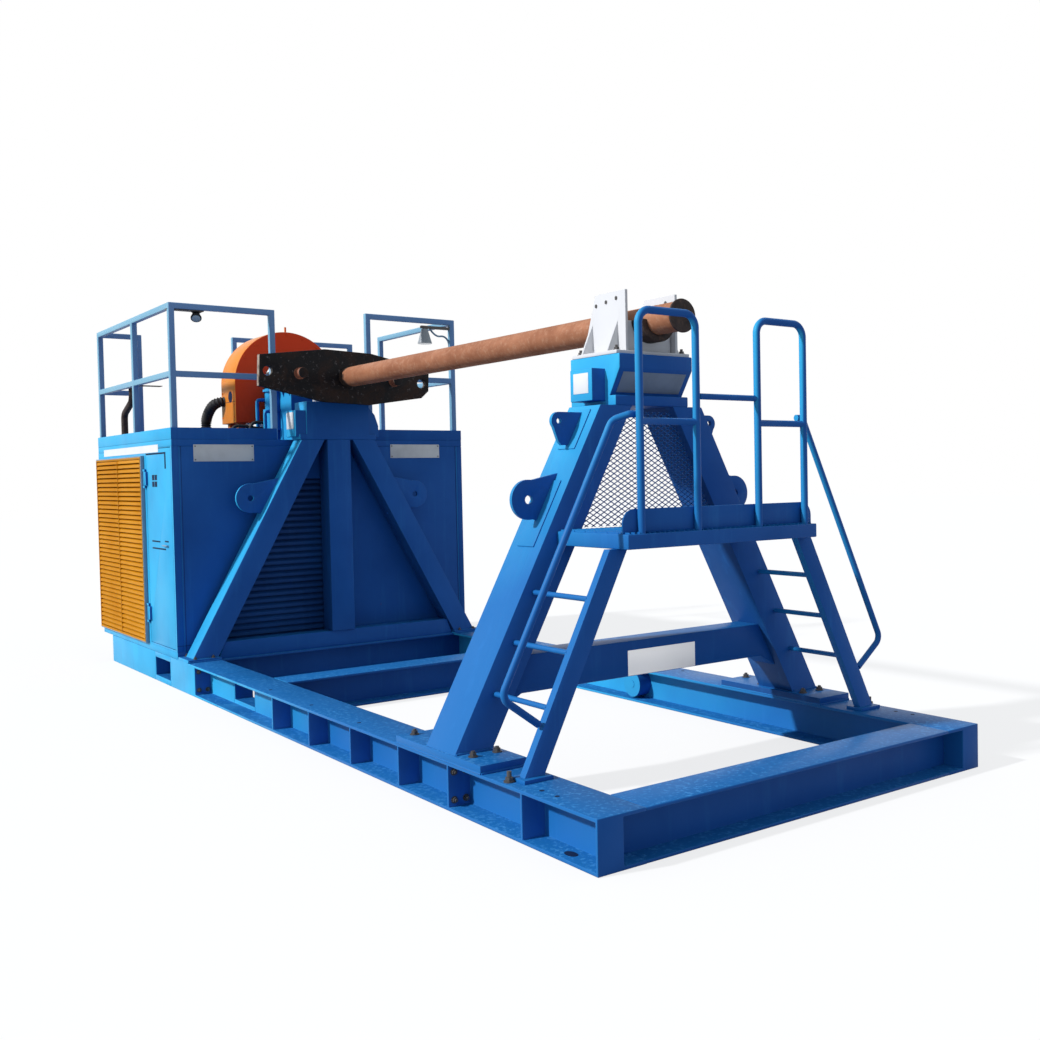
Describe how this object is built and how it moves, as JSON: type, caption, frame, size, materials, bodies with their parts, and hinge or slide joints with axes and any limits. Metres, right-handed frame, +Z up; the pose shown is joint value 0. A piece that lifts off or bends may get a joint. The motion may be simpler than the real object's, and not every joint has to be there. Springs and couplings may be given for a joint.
{
  "type": "reel drive winch",
  "caption": "Steel base frame with a power container, a motor driven through shaft between two A-frames, an outboard bearing and an access platform.",
  "frame": {"origin": "on the ground, in the middle of the underside of the base's middle cross beam", "axes": "+X along the shaft towards the open end of the base, +Y towards the far long side of the picture, +Z up"},
  "size_m": [8.53, 2.8581, 3.345],
  "materials": {
    "white_paint": "white paint",
    "dark_steel": "dark oily steel",
    "blue_paint": "gloss marine blue paint, a little weathered",
    "black_steel": "black paint with brown stains",
    "louvre_dark": "dark blue slats",
    "orange_paint": "orange paint",
    "hose_rubber": "matt black ribbed rubber",
    "rusty_steel": "rust brown bare steel",
    "louvre_orange": "amber painted slats"
  },
  "bodies": {
    "frame": {"bearing_foot": "white_paint", "bearing_housing": "white_paint", "bearing_shell": "dark_steel", "coaming_far": "blue_paint", "coaming_near": "blue_paint", "container_floor": "blue_paint", "container_roof": "blue_paint", "container_wall_far": "blue_paint", "container_wall_front": "blue_paint", "container_wall_near": "blue_paint", "container_wall_rear": "blue_paint", "cross_beam_drive": "blue_paint", "cross_beam_middle": "blue_paint", "cross_beam_rear": "blue_paint", "drive_bearing": "white_paint", "drive_head": "blue_paint", "drive_leg_far": "blue_paint", "drive_leg_near": "blue_paint", "drive_post": "blue_paint", "drive_sill": "blue_paint", "end_beam_front": "blue_paint", "end_beam_rear": "blue_paint", "exhaust_pipe": "dark_steel", "fork_pocket_far_front": "blue_paint", "fork_pocket_far_rear": "blue_paint", "fork_pocket_near_front": "blue_paint", "fork_pocket_near_rear": "blue_paint", "front_louvre": "louvre_dark", "gear_guard": "orange_paint", "gearbox": "blue_paint", "guard_hose": "hose_rubber", "handrail_far": "blue_paint", "handrail_near": "blue_paint", "hoop_cross_bar": "blue_paint", "hoop_far": "blue_paint", "hoop_near": "blue_paint", "ladder_far": "blue_paint", "ladder_near": "blue_paint", "mesh_guard": "blue_paint", "outboard_head": "blue_paint", "outboard_leg_far": "blue_paint", "outboard_leg_near": "blue_paint", "outboard_tie_beam": "blue_paint", "platform_floor": "blue_paint", "power_unit": "dark_steel", "rail_far": "blue_paint", "rail_near": "blue_paint", "rail_rear": "blue_paint", "side_beam_far_front": "blue_paint", "side_beam_far_middle": "blue_paint", "side_beam_far_rear": "blue_paint", "side_beam_near_front": "blue_paint", "side_beam_near_middle": "blue_paint", "side_beam_near_rear": "blue_paint", "side_louvre": "louvre_orange", "toe_board": "blue_paint"},
    "rotor": {"shaft": "rusty_steel", "shaft_collar": "dark_steel", "drive_arm": "black_steel"},
    "side_door": {"side_door": "blue_paint"}
  },
  "joints": [
    {"name": "shaft_spin", "type": "hinge", "parent": "frame", "child": "rotor", "pos_m": [-1.13, 0, 2.685], "axis": [1, 0, 0], "continuous": true},
    {"name": "side_door_hinge", "type": "hinge", "parent": "frame", "child": "side_door", "pos_m": [-2.3775, -1.414, 1.2], "axis": [0, 0, -1], "range_deg": [0, 100]}
  ]
}
